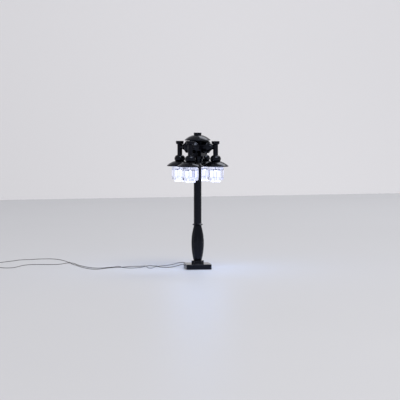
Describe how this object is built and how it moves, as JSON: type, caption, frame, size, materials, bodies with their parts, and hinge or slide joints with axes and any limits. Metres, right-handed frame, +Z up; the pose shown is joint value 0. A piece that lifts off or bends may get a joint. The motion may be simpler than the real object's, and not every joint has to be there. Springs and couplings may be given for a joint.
{
  "type": "model street lamp",
  "caption": "Black moulded street lamp for a building-brick layout: fluted post, cross-shaped head, dish shades over clear lit globes, fine wires leaving the foot.",
  "frame": {"origin": "centre of the square foot, on the surface it stands on", "axes": "+Z up the post; +Y to the rear of the foot, where the wires leave; +X to its right"},
  "size_m": [0.1533, 0.0967, 0.085],
  "materials": {
    "gloss_black_abs": "gloss black injection-moulded ABS",
    "clear_polycarbonate": "clear polished polycarbonate, bluish white when lit",
    "enamelled_wire": "dark enamelled copper wire",
    "led_board": "white solder-masked glass-fibre board",
    "led_lens": "cool white light-emitting diode, lit",
    "sleeve_black": "matt heat-shrink sleeve",
    "tie_black": "soft black plastic tie",
    "plug_white": "natural white nylon",
    "pin_metal": "tinned phosphor bronze"
  },
  "bodies": {
    "post": {"lamp_post": "gloss_black_abs", "trunk_wire_a": "enamelled_wire", "trunk_wire_b": "enamelled_wire", "lead_wire_a": "enamelled_wire", "lead_wire_b": "enamelled_wire", "wire_coil": "enamelled_wire", "coil_tie": "tie_black", "plug_housing": "plug_white", "plug_pins": "pin_metal"},
    "head": {"spacer_plate": "gloss_black_abs", "hub_block": "gloss_black_abs", "splice_sleeve_a": "sleeve_black", "splice_sleeve_b": "sleeve_black", "hub_leads": "enamelled_wire"},
    "cap": {"cap_dish": "gloss_black_abs"},
    "arm_right": {"arm_right": "gloss_black_abs", "arm_leads_right": "enamelled_wire"},
    "lamp_right": {"shade_right": "gloss_black_abs", "globe_right": "clear_polycarbonate", "led_board_right": "led_board", "led_chip_right": "led_lens", "lamp_leads_right": "enamelled_wire"},
    "arm_back": {"arm_back": "gloss_black_abs", "arm_leads_back": "enamelled_wire"},
    "lamp_back": {"shade_back": "gloss_black_abs", "globe_back": "clear_polycarbonate", "led_board_back": "led_board", "led_chip_back": "led_lens", "lamp_leads_back": "enamelled_wire"},
    "arm_left": {"arm_left": "gloss_black_abs", "arm_leads_left": "enamelled_wire"},
    "lamp_left": {"shade_left": "gloss_black_abs", "globe_left": "clear_polycarbonate", "led_board_left": "led_board", "led_chip_left": "led_lens", "lamp_leads_left": "enamelled_wire"},
    "arm_front": {"arm_front": "gloss_black_abs", "arm_leads_front": "enamelled_wire"},
    "lamp_front": {"shade_front": "gloss_black_abs", "globe_front": "clear_polycarbonate", "led_board_front": "led_board", "led_chip_front": "led_lens", "lamp_leads_front": "enamelled_wire"}
  },
  "joints": [
    {"name": "head_swivel", "type": "hinge", "parent": "post", "child": "head", "pos_m": [0, 0, 0.0672], "axis": [0, 0, 1], "range_deg": [-180, 180]},
    {"name": "cap_turn", "type": "hinge", "parent": "head", "child": "cap", "pos_m": [0, 0, 0.08], "axis": [0, 0, 1], "continuous": true},
    {"name": "arm_right_roll", "type": "hinge", "parent": "head", "child": "arm_right", "pos_m": [0.0039, -0.00225, 0.076], "axis": [0.866, -0.5, 0], "range_deg": [-4, 4]},
    {"name": "lamp_right_turn", "type": "hinge", "parent": "arm_right", "child": "lamp_right", "pos_m": [0.01039, -0.006, 0.0672], "axis": [0, 0, 1], "range_deg": [-90, 90]},
    {"name": "arm_back_roll", "type": "hinge", "parent": "head", "child": "arm_back", "pos_m": [0.00225, 0.0039, 0.076], "axis": [0.5, 0.866, 0], "range_deg": [-4, 4]},
    {"name": "lamp_back_turn", "type": "hinge", "parent": "arm_back", "child": "lamp_back", "pos_m": [0.006, 0.01039, 0.0672], "axis": [0, 0, 1], "range_deg": [-90, 90]},
    {"name": "arm_left_roll", "type": "hinge", "parent": "head", "child": "arm_left", "pos_m": [-0.0039, 0.00225, 0.076], "axis": [-0.866, 0.5, 0], "range_deg": [-4, 4]},
    {"name": "lamp_left_turn", "type": "hinge", "parent": "arm_left", "child": "lamp_left", "pos_m": [-0.01039, 0.006, 0.0672], "axis": [0, 0, 1], "range_deg": [-90, 90]},
    {"name": "arm_front_roll", "type": "hinge", "parent": "head", "child": "arm_front", "pos_m": [-0.00225, -0.0039, 0.076], "axis": [-0.5, -0.866, 0], "range_deg": [-4, 4]},
    {"name": "lamp_front_turn", "type": "hinge", "parent": "arm_front", "child": "lamp_front", "pos_m": [-0.006, -0.01039, 0.0672], "axis": [0, 0, 1], "range_deg": [-90, 90]}
  ]
}
